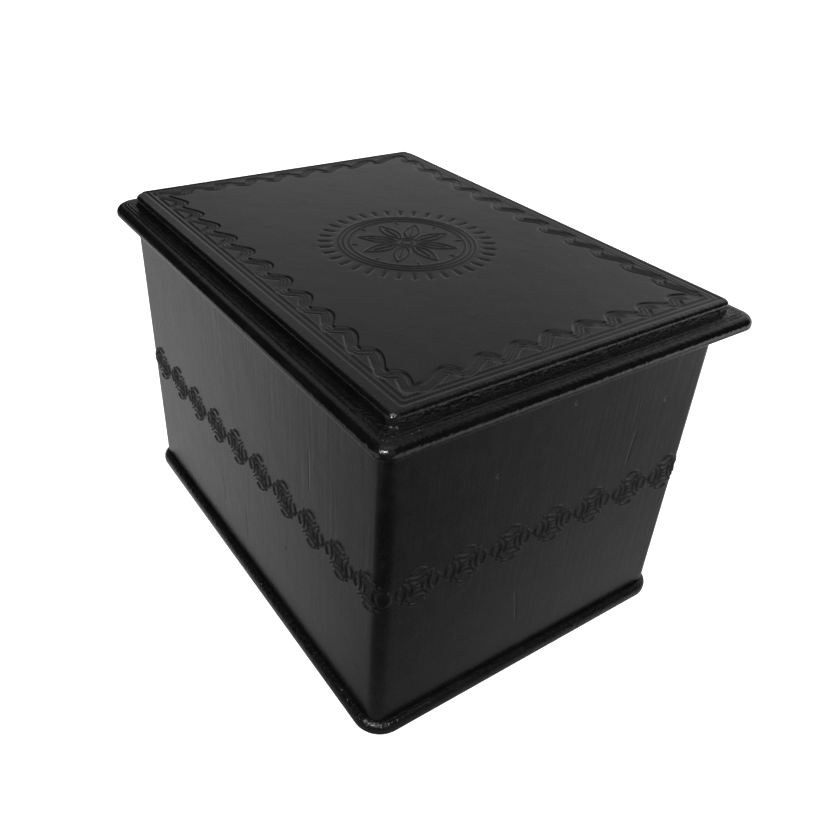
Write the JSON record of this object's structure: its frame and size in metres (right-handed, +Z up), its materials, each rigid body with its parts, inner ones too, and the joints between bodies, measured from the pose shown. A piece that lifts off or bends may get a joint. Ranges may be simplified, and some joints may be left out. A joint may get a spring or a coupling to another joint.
{
  "type": "stationery box",
  "caption": "Leather-covered wooden box for papers, with walls on a low plinth, a two-tier lid on a leather hinge at the back and a lined inside.",
  "frame": {"origin": "on the table, under the middle of the lid", "axes": "+X along the front to the right, +Y to the hinge at the back, +Z up"},
  "size_m": [0.2174, 0.1614, 0.1413],
  "materials": {
    "leather": "glossy black, fine grain, blind tooled",
    "board": "plain, glued and covered",
    "lining": "brown suede cloth on card",
    "felt": "black felt",
    "pin": "plain wire"
  },
  "bodies": {
    "box": {"front_board": "board", "back_board": "board", "left_board": "board", "right_board": "board", "plinth_board": "board", "wall_leather": "leather", "plinth_leather": "leather", "base_felt": "felt", "corner_pins": "pin", "base_pins": "pin", "front_lining": "lining", "back_lining": "lining", "left_lining": "lining", "right_lining": "lining", "floor_lining": "lining", "hinge_strip": "leather"},
    "lid": {"lid_board": "board", "lid_panel_board": "board", "lid_leather": "leather", "lid_lining": "lining", "hinge_lid_flap": "leather"}
  },
  "joints": [
    {"name": "lid_hinge", "type": "hinge", "parent": "box", "child": "lid", "pos_m": [0, 0.0716, 0.1314], "axis": [-1, 0, 0], "range_deg": [0, 90]}
  ]
}
